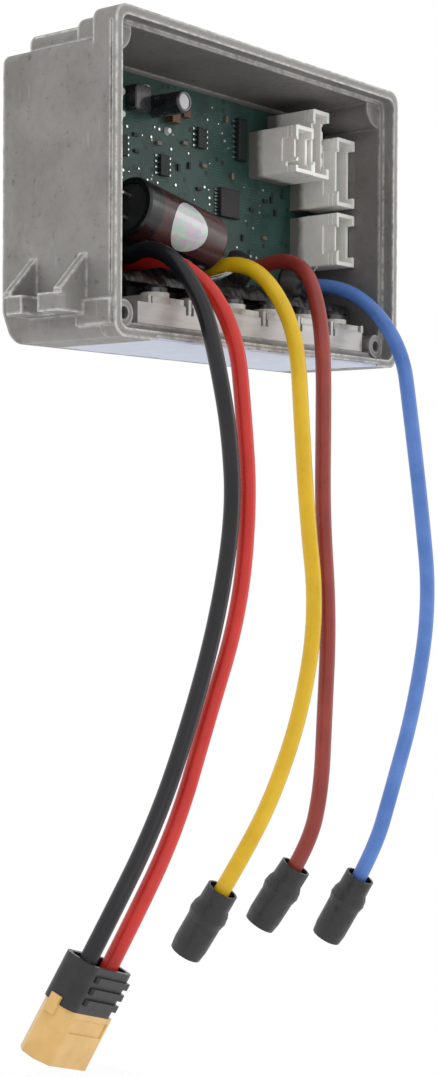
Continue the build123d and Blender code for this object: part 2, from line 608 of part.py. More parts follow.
# ---------------------------------------------------------------- plug
with BuildPart() as plug_cap:
    with BuildSketch(plug_plane):
        RectangleRounded(PLUG_W, PLUG_T, 2.6)
    extrude(amount=CAP_LEN)
    # three grip bars across both wide faces
    for k in range(3):
        with BuildSketch(plug_plane.offset(1.6 + 2.3 * k)):
            with Locations((1.0, 0)):
                RectangleRounded(11.2, PLUG_T + 1.3, 0.6)
        extrude(amount=1.3)
    with BuildSketch(plug_plane.offset(-1.0)):
        RectangleRounded(PLUG_W - 2.2, PLUG_T - 1.8, 1.8)
    extrude(amount=CAP_LEN + 2.0, mode=Mode.SUBTRACT)
save(plug_cap, "plug_cap")
with BuildPart() as plug_housing:
    with BuildSketch(plug_plane.offset(CAP_LEN)):
        with BuildLine():
            Polyline(
                (-PLUG_W / 2 + 2.4, -PLUG_T / 2), (PLUG_W / 2, -PLUG_T / 2), (PLUG_W / 2, PLUG_T / 2),
                (-PLUG_W / 2 + 2.4, PLUG_T / 2), (-PLUG_W / 2, PLUG_T / 2 - 2.4),
                (-PLUG_W / 2, -PLUG_T / 2 + 2.4),
                close=True,
            )
        make_face()
    extrude(amount=PLUG_LEN - CAP_LEN)
    fillet(plug_housing.edges().filter_by(lambda e: abs((e % 0.5).dot(PLUG_AXIS)) > 0.99), radius=1.0)
    # tab that reaches up over the cap's narrow side
    with BuildSketch(plug_plane.offset(CAP_LEN - 1.5)):
        with Locations((-PLUG_W / 2 - 0.3, 0)):
            Rectangle(0.6, 2.4)
    extrude(amount=3.6)
    # socket open at the mating end
    with BuildSketch(plug_plane.offset(PLUG_LEN + 1.0)):
        with BuildLine():
            Polyline(
                (-PLUG_W / 2 + 2.9, -PLUG_T / 2 + 1.1), (PLUG_W / 2 - 1.1, -PLUG_T / 2 + 1.1),
                (PLUG_W / 2 - 1.1, PLUG_T / 2 - 1.1), (-PLUG_W / 2 + 2.9, PLUG_T / 2 - 1.1),
                (-PLUG_W / 2 + 1.1, PLUG_T / 2 - 2.9), (-PLUG_W / 2 + 1.1, -PLUG_T / 2 + 2.9), close=True,
            )
        make_face()
    extrude(amount=-(PLUG_LEN + 1.0 - CAP_LEN - 2.6), mode=Mode.SUBTRACT)
    # blank recessed plate on both large faces
    for face_side in (-1, 1):
        with BuildSketch(plug_plane.offset(CAP_LEN + 1.1)):
            with Locations((0.8, face_side * (PLUG_T / 2))):
                Rectangle(11.2, 0.5)
        extrude(amount=3.0, mode=Mode.SUBTRACT)
save(plug_housing, "plug_housing")
with BuildPart() as plug_contacts:
    for side in (-PLUG_PIN, PLUG_PIN):
        with BuildSketch(plug_plane.offset(CAP_LEN + 2.6)):
            with Locations((side, 0)):
                Circle(1.75)
        extrude(amount=6.4)
save(plug_contacts, "plug_contacts")

# ---------------------------------------------------------------- shrink sleeves and contacts
for colour, (rear, axis, length) in SLEEVES.items():
    plane = along(rear, axis, (0, -1, 0))
    with BuildPart() as sleeve:
        with BuildSketch(plane):
            with BuildLine():
                Polyline(
                    (2.9, 0.0), (3.4, 0.0), (3.45, 3.6), (3.95, 4.8), (4.15, 6.2), (3.75, 7.8),
                    (3.7, length - 2.2), (3.4, length), (2.9, length), (2.9, CUP + 0.2), (2.9, CUP - 0.2), close=True,
                )
            make_face()
        revolve(axis=Axis(rear, axis))
    save(sleeve, "sleeve_" + colour)
    with BuildPart() as contact:
        with BuildSketch(plane):
            with BuildLine():
                Polyline(
                    (0, CUP), (2.85, CUP), (2.85, length - 0.8), (2.0, length - 0.8),
                    (2.0, length - 5.0), (0, length - 5.0), close=True,
                )
            make_face()
        revolve(axis=Axis(rear, axis))
    save(contact, "contact_" + colour)
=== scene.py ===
import bpy
import bmesh
import math
import random
from mathutils import Matrix, Vector, noise


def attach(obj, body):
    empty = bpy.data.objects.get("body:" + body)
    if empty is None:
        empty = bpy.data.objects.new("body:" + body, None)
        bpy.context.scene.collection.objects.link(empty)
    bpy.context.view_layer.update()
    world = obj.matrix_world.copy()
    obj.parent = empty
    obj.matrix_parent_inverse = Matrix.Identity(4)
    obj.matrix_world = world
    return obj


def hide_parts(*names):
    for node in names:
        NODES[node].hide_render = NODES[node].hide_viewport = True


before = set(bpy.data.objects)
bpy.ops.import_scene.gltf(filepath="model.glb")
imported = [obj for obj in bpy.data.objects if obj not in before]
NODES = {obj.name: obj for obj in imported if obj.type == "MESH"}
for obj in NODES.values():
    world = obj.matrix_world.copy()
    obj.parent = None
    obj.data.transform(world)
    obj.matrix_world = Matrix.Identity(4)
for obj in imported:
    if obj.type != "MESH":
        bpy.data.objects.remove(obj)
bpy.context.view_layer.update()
scene = bpy.context.scene

# places on the CAD model, in metres
BOX_FRONT = -0.016
CAVITY_ROOF = 0.0632
CAVITY_HALF = 0.0468
CAPACITOR_START = Vector((-0.0285, 0.0004, 0.030))
CAPACITOR_END = Vector((-0.0015, 0.0004, 0.025))

# places on the CAD model, in millimetres
BOARD_FRONT = 8.0
DEVICE_TOP = 12.9
ROOTS = [(-29.2, 18.9), (-24.5, 18.7), (0.7, 18.9), (18.4, 22.2), (40.4, 20.6)]
WIRE_D = 3.5
PLUG_PIN = 3.9
CAP_LEN = 9.2
CUP = 5.0


# ------------------------------------------------------------------ node helpers
def material(name, rough=0.5, metal=0.0, spec=0.5, coat=0.0, coat_rough=0.1):
    """A new material, its node tree and its Principled node."""
    m = bpy.data.materials.new(name)
    m.use_nodes = True
    b = m.node_tree.nodes["Principled BSDF"]
    b.inputs["Roughness"].default_value = rough
    b.inputs["Metallic"].default_value = metal
    b.inputs["Specular IOR Level"].default_value = spec
    b.inputs["Coat Weight"].default_value = coat
    b.inputs["Coat Roughness"].default_value = coat_rough
    return m, m.node_tree, b


def coords(nt, scale=(1, 1, 1), rot=(0, 0, 0)):
    """Object coordinates in metres, scaled and turned."""
    tc = nt.nodes.new("ShaderNodeTexCoord")
    mp = nt.nodes.new("ShaderNodeMapping")
    mp.inputs["Scale"].default_value = scale
    mp.inputs["Rotation"].default_value = rot
    nt.links.new(tc.outputs["Object"], mp.inputs["Vector"])
    return mp.outputs["Vector"]


def noise_tex(nt, vec, scale, detail=3.0, rough=0.5, distort=0.0):
    n = nt.nodes.new("ShaderNodeTexNoise")
    n.inputs["Scale"].default_value = scale
    n.inputs["Detail"].default_value = detail
    n.inputs["Roughness"].default_value = rough
    n.inputs["Distortion"].default_value = distort
    nt.links.new(vec, n.inputs["Vector"])
    return n.outputs["Fac"]


def ramp(nt, fac, stops):
    r = nt.nodes.new("ShaderNodeValToRGB")
    el = r.color_ramp.elements
    while len(el) < len(stops):
        el.new(0.5)
    for e, (p, c) in zip(el, stops):
        e.position = p
        e.color = (*c, 1)
    nt.links.new(fac, r.inputs["Fac"])
    return r.outputs["Color"]


def grey(v):
    return (v, v, v)


def mix(nt, a, b, fac, mode="MIX"):
    m = nt.nodes.new("ShaderNodeMix")
    m.data_type = "RGBA"
    m.blend_type = mode
    for sock, val in ((m.inputs[0], fac), (m.inputs[6], a), (m.inputs[7], b)):
        if isinstance(val, bpy.types.NodeSocket):
            nt.links.new(val, sock)
        elif isinstance(val, (int, float)):
            sock.default_value = val
        else:
            sock.default_value = (*val, 1)
    return m.outputs[2]


def calc(nt, op, a, b=0.0):
    m = nt.nodes.new("ShaderNodeMath")
    m.operation = op
    for sock, val in zip(m.inputs, (a, b)):
        if isinstance(val, bpy.types.NodeSocket):
            nt.links.new(val, sock)
        else:
            sock.default_value = val
    return m.outputs[0]


def xyz(nt, vec):
    s = nt.nodes.new("ShaderNodeSeparateXYZ")
    nt.links.new(vec, s.inputs[0])
    return s.outputs[0], s.outputs[1], s.outputs[2]


def product(nt, first, *rest):
    for factor in rest:
        first = calc(nt, "MULTIPLY", first, factor)
    return first


def voronoi(nt, vec, scale, metric="EUCLIDEAN", randomness=1.0):
    """Distance to the nearest cell centre, and that cell's three random numbers."""
    t = nt.nodes.new("ShaderNodeTexVoronoi")
    t.distance = metric
    t.inputs["Scale"].default_value = scale
    t.inputs["Randomness"].default_value = randomness
    nt.links.new(vec, t.inputs["Vector"])
    return t.outputs["Distance"], xyz(nt, t.outputs["Color"])


def dot(nt, a, b):
    """Dot product of two vectors, each a socket or a constant."""
    node = nt.nodes.new("ShaderNodeVectorMath")
    node.operation = "DOT_PRODUCT"
    for sock, val in zip(node.inputs, (a, b)):
        if isinstance(val, bpy.types.NodeSocket):
            nt.links.new(val, sock)
        else:
            sock.default_value = val
    return node.outputs["Value"]


def bump(nt, bsdf, height, strength, distance):
    b = nt.nodes.new("ShaderNodeBump")
    b.inputs["Strength"].default_value = strength
    b.inputs["Distance"].default_value = distance
    nt.links.new(height, b.inputs["Height"])
    nt.links.new(b.outputs["Normal"], bsdf.inputs["Normal"])


def simple(name, dark, light, scale=600, rough=(0.45, 0.6), bump_scale=2500, bump_strength=0.15,
           metal=0.0, spec=0.5, coat=0.0, stretch=(1, 1, 1), distance=0.0001):
    """Moulded, cast or drawn finish: two close colours, uneven gloss and a fine surface."""
    m, nt, b = material(name, metal=metal, spec=spec, coat=coat)
    v = coords(nt, stretch)
    n = noise_tex(nt, v, scale, 4, 0.6)
    nt.links.new(ramp(nt, n, [(0.3, dark), (0.7, light)]), b.inputs["Base Color"])
    nt.links.new(ramp(nt, n, [(0.3, grey(rough[0])), (0.75, grey(rough[1]))]), b.inputs["Roughness"])
    bump(nt, b, noise_tex(nt, v, bump_scale, 3, 0.6), bump_strength, distance)
    return m


def assign(mat, *names):
    """Give CAD nodes a material."""
    for n in names:
        o = NODES[n]
        o = bpy.data.objects[o] if isinstance(o, str) else o
        for s in o.material_slots:
            s.material = mat
        if not o.material_slots:
            o.data.materials.append(mat)


# ------------------------------------------------------------------ materials
def cast_metal():
    """Bare die-cast metal: mottled and pitted, with a painted highlight on the edges and painted shade over
    the box's cavity.
    """
    m, nt, b = material("housing_cast")
    v = coords(nt)
    x, y, z = xyz(nt, v)
    broad = noise_tex(nt, v, 55, 5, 0.6, 0.4)
    fine = noise_tex(nt, v, 1500, 3, 0.7)
    speck = noise_tex(nt, v, 520, 4, 0.65)
    base = ramp(nt, broad, [(0.32, (0.200, 0.191, 0.181)), (0.68, (0.300, 0.290, 0.277))])
    pits = ramp(nt, speck, [(0.60, grey(0)), (0.72, grey(0.6))])
    base = mix(nt, base, (0.095, 0.090, 0.086), pits)
    sparkle = ramp(nt, fine, [(0.62, grey(0)), (0.78, grey(0.35))])
    base = mix(nt, base, (0.36, 0.35, 0.335), sparkle)
    # the rim's front face
    rim = calc(nt, "LESS_THAN", y, BOX_FRONT + 0.00015)
    base = mix(nt, base, (0.25, 0.24, 0.23), product(nt, rim, 0.6))
    # painted highlight on the edges, where the bevelled normal turns away from the face's own, broken up by
    # the specks
    edge = nt.nodes.new("ShaderNodeBevel")
    edge.samples = 4
    edge.inputs["Radius"].default_value = 0.0010
    flat = nt.nodes.new("ShaderNodeNewGeometry").outputs["Normal"]
    turned = calc(nt, "SUBTRACT", 1.0, dot(nt, edge.outputs["Normal"], flat))
    edge_highlight = ramp(nt, turned, [(0.006, grey(0)), (0.07, grey(1))])
    edge_highlight = mix(nt, edge_highlight, ramp(nt, speck, [(0.38, grey(0.25)), (0.58, grey(1))]), 1.0, "MULTIPLY")
    base = mix(nt, base, (0.78, 0.77, 0.745), edge_highlight)
    # long slanting scratches
    streaks = noise_tex(nt, coords(nt, (1, 1, 0.10), (0.5, 0.0, 0.0)), 900, 2, 0.4)
    base = mix(nt, base, (0.40, 0.39, 0.375), ramp(nt, streaks, [(0.69, grey(0)), (0.75, grey(0.35))]))
    # painted shade over the cavity: its walls and roof, and behind the rim
    cavity_shade = product(nt, calc(nt, "GREATER_THAN", y, BOX_FRONT + 0.0015),
                     calc(nt, "LESS_THAN", z, CAVITY_ROOF),
                     calc(nt, "LESS_THAN", calc(nt, "ABSOLUTE", x), CAVITY_HALF))
    base = mix(nt, base, (0.13, 0.12, 0.118), product(nt, cavity_shade, 0.4))
    nt.links.new(base, b.inputs["Base Color"])
    nt.links.new(ramp(nt, speck, [(0.3, grey(0.42)), (0.7, grey(0.66))]), b.inputs["Roughness"])
    nt.links.new(ramp(nt, fine, [(0.3, grey(0.2)), (0.7, grey(0.5))]), b.inputs["Metallic"])
    bump(nt, b, calc(nt, "ADD", product(nt, fine, 0.5), product(nt, speck, 0.9)), 0.5, 0.00012)
    return m


def circuit_board():
    """Green lacquer over copper traces, with small footprints and pale vias."""
    m, nt, b = material("board_green", rough=0.42, spec=0.35)
    v = coords(nt)
    x, _, z = xyz(nt, v)
    broad = noise_tex(nt, v, 110, 4, 0.6)
    base = ramp(nt, broad, [(0.3, (0.010, 0.036, 0.030)), (0.7, (0.022, 0.064, 0.052))])
    # bundles of traces that turn at right angles from cell to cell, and break off
    pitch = 9600
    _, (turn, shown, _) = voronoi(nt, v, 190, "CHEBYCHEV")
    turn = calc(nt, "GREATER_THAN", turn, 0.5)
    upright = product(nt, calc(nt, "SINE", product(nt, x, pitch)), turn)
    level = product(nt, calc(nt, "SINE", product(nt, z, pitch)), calc(nt, "SUBTRACT", 1.0, turn))
    trace = calc(nt, "GREATER_THAN", calc(nt, "ADD", upright, level), 0.35)
    unbroken = calc(nt, "GREATER_THAN", noise_tex(nt, v, 420, 2, 0.5), 0.47)
    trace = product(nt, trace, calc(nt, "GREATER_THAN", shown, 0.5), unbroken)
    base = mix(nt, base, (0.034, 0.098, 0.078), product(nt, trace, 0.7))
    # dark and pale footprints, the dark ones in crowds
    apart, (darkness, paleness, _) = voronoi(nt, v, 520, "CHEBYCHEV", 0.85)
    crowd = ramp(nt, noise_tex(nt, v, 75, 2, 0.5), [(0.42, grey(0)), (0.55, grey(1))])
    dark = product(nt, calc(nt, "LESS_THAN", apart, 0.27), calc(nt, "GREATER_THAN", darkness, 0.55))
    base = mix(nt, base, (0.006, 0.009, 0.009), product(nt, dark, crowd))
    pale = product(nt, calc(nt, "LESS_THAN", apart, 0.13), calc(nt, "GREATER_THAN", paleness, 0.80))
    base = mix(nt, base, (0.30, 0.33, 0.29), product(nt, pale, 0.8))
    # vias
    apart, (shown, _, _) = voronoi(nt, v, 430, randomness=0.9)
    via = product(nt, calc(nt, "LESS_THAN", apart, 0.12), calc(nt, "GREATER_THAN", shown, 0.80))
    base = mix(nt, base, (0.62, 0.64, 0.58), product(nt, via, 0.85))
    nt.links.new(base, b.inputs["Base Color"])
    bump(nt, b, calc(nt, "ADD", trace, product(nt, dark, 2.0)), 0.35, 0.00006)
    return m


def capacitor_film():
    """Dark brown shrink film with a black band along it, plain dashes in the band, and painted shade at its
    near end.
    """
    m, nt, b = material("sleeve_brown", rough=0.3, spec=0.4, coat=0.12, coat_rough=0.15)
    v = coords(nt)
    n = noise_tex(nt, v, 180, 4, 0.6)
    base = ramp(nt, n, [(0.3, (0.036, 0.011, 0.012)), (0.7, (0.066, 0.020, 0.021))])
    axis = (CAPACITOR_END - CAPACITOR_START).normalized()
    up = axis.cross(Vector((0, 1, 0))) * -1
    out = Vector((0, -1, 0))
    from_start = nt.nodes.new("ShaderNodeVectorMath")
    from_start.operation = "SUBTRACT"
    nt.links.new(v, from_start.inputs[0])
    from_start.inputs[1].default_value = CAPACITOR_START
    along, high, forward = (dot(nt, from_start.outputs[0], way) for way in (axis, up, out))
    angle = calc(nt, "ARCTAN2", high, forward)
    band = product(nt, calc(nt, "GREATER_THAN", angle, 1.05), calc(nt, "LESS_THAN", angle, 1.9))
    # painted shade: the first 4.5 mm from the near end is painted black, like the band
    end = calc(nt, "LESS_THAN", along, 0.0045)
    base = mix(nt, base, (0.008, 0.008, 0.009), calc(nt, "MAXIMUM", band, end))
    dashes = product(nt, calc(nt, "GREATER_THAN", calc(nt, "SINE", product(nt, along, 1400)), 0.2),
                     calc(nt, "LESS_THAN", calc(nt, "ABSOLUTE", calc(nt, "SUBTRACT", angle, 1.25)), 0.05),
                     calc(nt, "GREATER_THAN", along, 0.003))
    base = mix(nt, base, (0.34, 0.32, 0.31), product(nt, dashes, 0.8))
    nt.links.new(base, b.inputs["Base Color"])
    nt.links.new(ramp(nt, n, [(0.3, grey(0.2)), (0.7, grey(0.34))]), b.inputs["Roughness"])
    bump(nt, b, noise_tex(nt, v, 260, 3, 0.5), 0.12, 0.0003)
    return m


def label_film():
    """Silvery film with a faint painted rainbow sheen."""
    m, nt, b = material("label_film", rough=0.22, spec=0.6, coat=0.5, coat_rough=0.08)
    n = noise_tex(nt, coords(nt), 260, 2, 0.4, 1.5)
    base = ramp(nt, n, [(0.25, (0.36, 0.44, 0.52)), (0.42, (0.56, 0.40, 0.50)),
                        (0.58, (0.36, 0.54, 0.46)), (0.75, (0.60, 0.55, 0.40))])
    nt.links.new(base, b.inputs["Base Color"])
    return m


def header_nylon():
    """Ivory nylon, a little see-through, with painted shade where it meets the board."""
    m, nt, b = material("header_ivory", rough=0.45, spec=0.45)
    b.inputs["Subsurface Weight"].default_value = 0.15
    b.inputs["Subsurface Scale"].default_value = 0.0015
    v = coords(nt)
    _, y, _ = xyz(nt, v)
    n = noise_tex(nt, v, 350, 4, 0.6)
    base = ramp(nt, n, [(0.3, (0.80, 0.79, 0.75)), (0.7, (0.88, 0.875, 0.845))])
    # painted shade: darker towards the board, with a noisy edge
    depth = calc(nt, "ADD", y, product(nt, calc(nt, "SUBTRACT", n, 0.5), 0.002))
    base_shade = ramp(nt, product(nt, depth, 100), [(0.36, grey(0)), (0.56, grey(0.85))])
    nt.links.new(mix(nt, base, (0.075, 0.068, 0.058), base_shade), b.inputs["Base Color"])
    bump(nt, b, noise_tex(nt, v, 2500, 3, 0.6), 0.12, 0.0001)
    return m


def silicone(name, dark, light):
    return simple(name, dark, light, 110, (0.26, 0.40), 420, 0.16, spec=0.4, coat=0.06, distance=0.0003)


# box
assign(cast_metal(), "housing")
pad_pale = simple("pad_pale", (0.50, 0.54, 0.66), (0.60, 0.64, 0.76), 120, (0.55, 0.7), 1500, 0.3)
assign(pad_pale, "thermal_pad")

# board and what is on it
assign(circuit_board(), "main_pcb")
assign(simple("chip_black", (0.010, 0.010, 0.012), (0.024, 0.024, 0.026), 900, (0.42, 0.55), 4000, 0.2,
              spec=0.3),
       "mcu", "mosfet_bodies", "smd_resistors")
assign(simple("chip_dark_green", (0.008, 0.015, 0.013), (0.016, 0.026, 0.022), 900, (0.35, 0.5), 4000, 0.2,
              spec=0.2),
       "logic_ics", "driver_ic")
tin = simple("tinned", (0.52, 0.53, 0.54), (0.80, 0.80, 0.80), 1500, (0.22, 0.42), 3000, 0.2, metal=1.0)
assign(tin, "mcu_pins", "logic_ic_pins", "driver_ic_pins", "solder_dots", "header_pins", "mosfet_leads",
       "bulk_capacitor_leads", "wire_solder_joints")
# the tantalum parts' own brown, darkened by painted shade
assign(simple("tantalum", (0.05, 0.028, 0.015), (0.16, 0.08, 0.03), 900, (0.4, 0.55), 3000, 0.1),
       "tantalum_capacitors")
assign(simple("ceramic_tan", (0.10, 0.075, 0.05), (0.20, 0.16, 0.10), 1200, (0.4, 0.6), 3000, 0.1),
       "smd_capacitors")
assign(simple("can_alu", (0.22, 0.22, 0.23), (0.36, 0.36, 0.37), 900, (0.25, 0.4), 3000, 0.1, metal=1.0),
       "bulk_capacitor_can", "small_capacitor_can")
assign(simple("sleeve_black", (0.014, 0.014, 0.016), (0.03, 0.03, 0.034), 500, (0.2, 0.35), 1500, 0.1,
              coat=0.3),
       "small_capacitor_sleeve", "inductor")
assign(simple("seal_rubber", (0.010, 0.010, 0.011), (0.02, 0.02, 0.02), 500, (0.6, 0.8)),
       "bulk_capacitor_seal")
assign(capacitor_film(), "bulk_capacitor_sleeve")
assign(label_film(), "capacitor_sticker")
assign(simple("glue", (0.42, 0.45, 0.42), (0.62, 0.64, 0.60), 500, (0.15, 0.3), 900, 0.2, coat=0.4),
       "glue_blobs")
assign(header_nylon(), "header_a", "header_b", "header_c", "header_d")

# power stage
assign(simple("bar_alu", (0.44, 0.425, 0.41), (0.62, 0.60, 0.58), 500, (0.40, 0.58), 1500, 0.5, metal=0.5,
              stretch=(0.15, 1, 1)),
       "heatsink_bar")
assign(simple("pad_film", (0.38, 0.39, 0.40), (0.5, 0.5, 0.5), 500, (0.5, 0.65)), "insulating_pads")
assign(simple("tab_metal", (0.32, 0.31, 0.29), (0.52, 0.51, 0.48), 900, (0.32, 0.5), 2500, 0.25, metal=0.7),
       "mosfet_tabs")
assign(simple("washer", (0.50, 0.48, 0.45), (0.64, 0.62, 0.58), 700, (0.35, 0.5)), "clamp_washers")
assign(simple("screw_black", (0.05, 0.05, 0.052), (0.14, 0.14, 0.14), 900, (0.25, 0.42), 2500, 0.2,
              metal=0.9),
       "clamp_screws")
lacquer = simple("lacquer", (0.006, 0.006, 0.006), (0.022, 0.019, 0.017), 400, (0.26, 0.45), 500, 0.2,
                 spec=0.35, coat=0.10, distance=0.0002)
assign(lacquer, "potting")

# leads, plug and sleeves
wire_black = silicone("silicone_black", (0.004, 0.004, 0.006), (0.010, 0.010, 0.013))
wire_red = silicone("silicone_red", (0.50, 0.016, 0.010), (0.62, 0.030, 0.020))
wire_yellow = silicone("silicone_yellow", (0.62, 0.38, 0.004), (0.74, 0.48, 0.010))
wire_brown = silicone("silicone_brown", (0.22, 0.026, 0.020), (0.31, 0.045, 0.034))
wire_blue = silicone("silicone_blue", (0.062, 0.155, 0.46), (0.105, 0.225, 0.58))
assign(simple("plug_nylon", (0.62, 0.37, 0.11), (0.74, 0.47, 0.17), 200, (0.32, 0.45), 1500, 0.1, coat=0.1),
       "plug_housing")
assign(simple("cap_nylon", (0.008, 0.008, 0.009), (0.018, 0.018, 0.020), 400, (0.3, 0.42), 2000, 0.15),
       "plug_cap")
assign(simple("contact_gold", (0.65, 0.44, 0.14), (0.85, 0.64, 0.28), 900, (0.2, 0.35), 2000, 0.1, metal=1.0),
       "plug_contacts", "contact_yellow", "contact_brown", "contact_blue")
assign(simple("shrink_black", (0.010, 0.010, 0.011), (0.022, 0.022, 0.024), 260, (0.34, 0.5), 500, 0.6,
              distance=0.0005),
       "sleeve_yellow", "sleeve_brown", "sleeve_blue")

# ------------------------------------------------------------------ meshes (built in millimetres)
def vert(bm, x, y, z):
    return bm.verts.new((x / 1000, y / 1000, z / 1000))


def finish_piece(name, bm, mat, hides=None):
    """Turn a mesh under construction into a piece, in place of the CAD node that it hides."""
    me = bpy.data.meshes.new(name)
    bmesh.ops.recalc_face_normals(bm, faces=bm.faces)
    bm.to_mesh(me)
    bm.free()
    me.shade_smooth()
    me.materials.append(mat)
    o = bpy.data.objects.new(name, me)
    scene.collection.objects.link(o)
    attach(o, "root")
    if hides:
        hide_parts(hides)


def lump(x, y, z, scale=1.0):
    """Two octaves of smooth noise, about -1 to 1."""
    broad = noise.noise(Vector((x, y, z)) * scale)
    return broad + 0.5 * noise.noise(Vector((x + 9, y, z)) * scale * 2.3)


def close_slab(bm, top, low):
    """Faces over, under and round two grids of corners."""
    nx, ny = len(top) - 1, len(top[0]) - 1
    for i in range(nx):
        for k in range(ny):
            bm.faces.new((top[i][k], top[i + 1][k], top[i + 1][k + 1], top[i][k + 1]))
            bm.faces.new((low[i][k], low[i][k + 1], low[i + 1][k + 1], low[i + 1][k]))
        bm.faces.new((low[i][0], low[i + 1][0], top[i + 1][0], top[i][0]))
        bm.faces.new((top[i][ny], top[i + 1][ny], low[i + 1][ny], low[i][ny]))
    for i in (0, nx):
        for k in range(ny):
            bm.faces.new((top[i][k], top[i][k + 1], low[i][k + 1], low[i][k]))


def lacquer_layer():
    """Lumpy layer behind the power devices: its front edge runs in and out, and it climbs to the board."""
    bm = bmesh.new()
    nx, ny = 200, 36
    x0, x1 = -37.0, 44.0
    top, low = [], []
    for i in range(nx + 1):
        x = x0 + (x1 - x0) * i / nx
        front = -6.7 + 0.9 * lump(x, 3.0, 1.0, 0.33)
        back = 4.3 + 1.4 * lump(x, 2.0, 6.0, 0.22)
        top.append([])
        low.append([])
        for k in range(ny + 1):
            t = k / ny
            y = front + (BOARD_FRONT - front) * t
            edge = min(1.0, t / 0.12) ** 0.5
            rise = 2.2 + 1.0 * lump(x, y, 5.0, 0.26) + 0.3 * lump(x, y, 8.0, 0.7) + back * t ** 3
            top[i].append(vert(bm, x, y, DEVICE_TOP + max(0.25, rise * edge)))
            low[i].append(vert(bm, x, y, DEVICE_TOP))
    close_slab(bm, top, low)
    finish_piece("lacquer_layer", bm, lacquer, "potting")


def lacquer_mounds():
    """Lumpy mounds on the board round each lead's root, the blue lead's being the largest."""
    bm = bmesh.new()
    rings, spokes = 20, 56
    for root_x, root_z in ROOTS:
        reach, height = (6.2, 5.0) if root_x > 30 else (4.8, 3.6)
        grid = []
        for r in range(rings + 1):
            t = r / rings
            grid.append([])
            for a in range(spokes):
                w = 2 * math.pi * a / spokes
                c, s = math.cos(w), math.sin(w)
                radius = reach * t * (1 + 0.16 * lump(c, s, root_x, 0.9))
                h = height * (1 - t ** 2.2) * (1 + 0.16 * lump(c * 2 * t, s * 2 * t, root_x, 0.8))
                grid[r].append(vert(bm, root_x + radius * c, BOARD_FRONT - max(0.0, h), root_z + radius * s))
        for inner, outer in zip(grid, grid[1:]):
            for a in range(spokes):
                n = (a + 1) % spokes
                bm.faces.new((inner[a], inner[n], outer[n], outer[a]))
        bm.faces.new(grid[rings])
    bmesh.ops.remove_doubles(bm, verts=bm.verts, dist=1e-7)
    finish_piece("lacquer_mounds", bm, lacquer, "wire_solder_joints")


def pad_sheet():
    """Pale sheet under the floor, wavy along its front and its ends, and a little uneven below."""
    bm = bmesh.new()
    nx, ny = 160, 48
    x0, x1, y0, y1, thick = -37.3, 41.8, -15.8, 12.4, 0.6
    front_limit = -15.97
    top, low = [], []
    for i in range(nx + 1):
        top.append([])
        low.append([])
        for k in range(ny + 1):
            u, w = i / nx, k / ny
            x, y = x0 + (x1 - x0) * u, y0 + (y1 - y0) * w
            x += (abs(2 * u - 1) ** 8) * 0.5 * lump(y, 4.0, 3.0, 0.5) * (1 if u > 0.5 else -1)
            wave = 0.32 * lump(x, 1.0, 7.0, 0.45) + 0.12 * lump(x, 5.0, 2.0, 1.6)
            y += (max(0.0, 1 - w * 4) ** 2) * wave
            sag = 0.06 * lump(x, y, 2.0, 0.35)
            y = max(y, front_limit)
            top[i].append(vert(bm, x, y, thick))
            low[i].append(vert(bm, x, y, max(0.0, 0.06 + sag)))
    close_slab(bm, top, low)
    finish_piece("pad_sheet", bm, pad_pale, "thermal_pad")


def bow(start, pull, end, steps=12):
    """Points of a bowed line, drawn towards a third point."""
    ts = [i / steps for i in range(steps + 1)]
    return [start * (1 - t) ** 2 + pull * 2 * t * (1 - t) + end * t * t for t in ts]


def strand(bm, points, radius, sides=6):
    """Thin bare wire: a closed tube through the points."""
    rings = []
    for i, p in enumerate(points):
        before = points[max(0, i - 1)]
        after = points[min(len(points) - 1, i + 1)]
        way = (after - before).normalized()
        s1 = way.cross(Vector((0.3, 0.2, 0.93))).normalized()
        s2 = way.cross(s1)
        turns = [2 * math.pi * j / sides for j in range(sides)]
        rings.append([vert(bm, *(p + (s1 * math.cos(w) + s2 * math.sin(w)) * radius)) for w in turns])
    for near, far in zip(rings, rings[1:]):
        for j in range(sides):
            n = (j + 1) % sides
            bm.faces.new((near[j], near[n], far[n], far[j]))
    bm.faces.new(rings[0])
    bm.faces.new(rings[-1])


def bare_strands():
    """Bare strands beside the yellow and blue leads' roots, bowed between the lacquer and the lead."""
    bm = bmesh.new()
    rnd = random.Random(11)
    for k in range(7):
        start = Vector((-5.2 + 0.9 * k * 0.5, 3.0 - 0.5 * k, 16.9 + 0.25 * rnd.uniform(-1, 1)))
        end = Vector((1.4, -5.4, 19.7)) + Vector((rnd.uniform(-0.5, 0.5), 0, rnd.uniform(-0.6, 0.1)))
        pull = (start + end) / 2 + Vector((rnd.uniform(-0.4, 0.4), -0.8, rnd.uniform(-1.4, -0.2)))
        strand(bm, bow(start, pull, end), 0.13)
    strand(bm, bow(Vector((36.6, 2.4, 19.0)), Vector((35.2, -0.5, 21.6)), Vector((36.4, -2.2, 24.2))), 0.12)
    finish_piece("bare_strands", bm, tin)


lacquer_layer()
lacquer_mounds()
pad_sheet()
bare_strands()

# ------------------------------------------------------------------ leads
PLUG_REAR = Vector((-63.5, -25.0, -120.3))
PLUG_AXIS = Vector((-0.355, 0.298, -0.886)).normalized()
PLUG_SIDE = Vector((0.935, 0.139, -0.327))
PLUG_SIDE = (PLUG_SIDE - PLUG_AXIS * PLUG_SIDE.dot(PLUG_AXIS)).normalized()
SLEEVES = {
    "yellow": (Vector((-23.2, -22.3, -113.3)), Vector((-0.21, 0.459, -0.864)).normalized()),
    "brown": (Vector((2.2, -22.3, -112.2)), Vector((-0.255, 0.46, -0.85)).normalized()),
    "blue": (Vector((26.9, -22.3, -118.1)), Vector((-0.16, 0.455, -0.876)).normalized()),
}


def plug_point(side, depth):
    return tuple(PLUG_REAR + PLUG_SIDE * side + PLUG_AXIS * depth)


def sleeve_point(name, depth):
    rear, axis = SLEEVES[name]
    return tuple(rear + axis * depth)


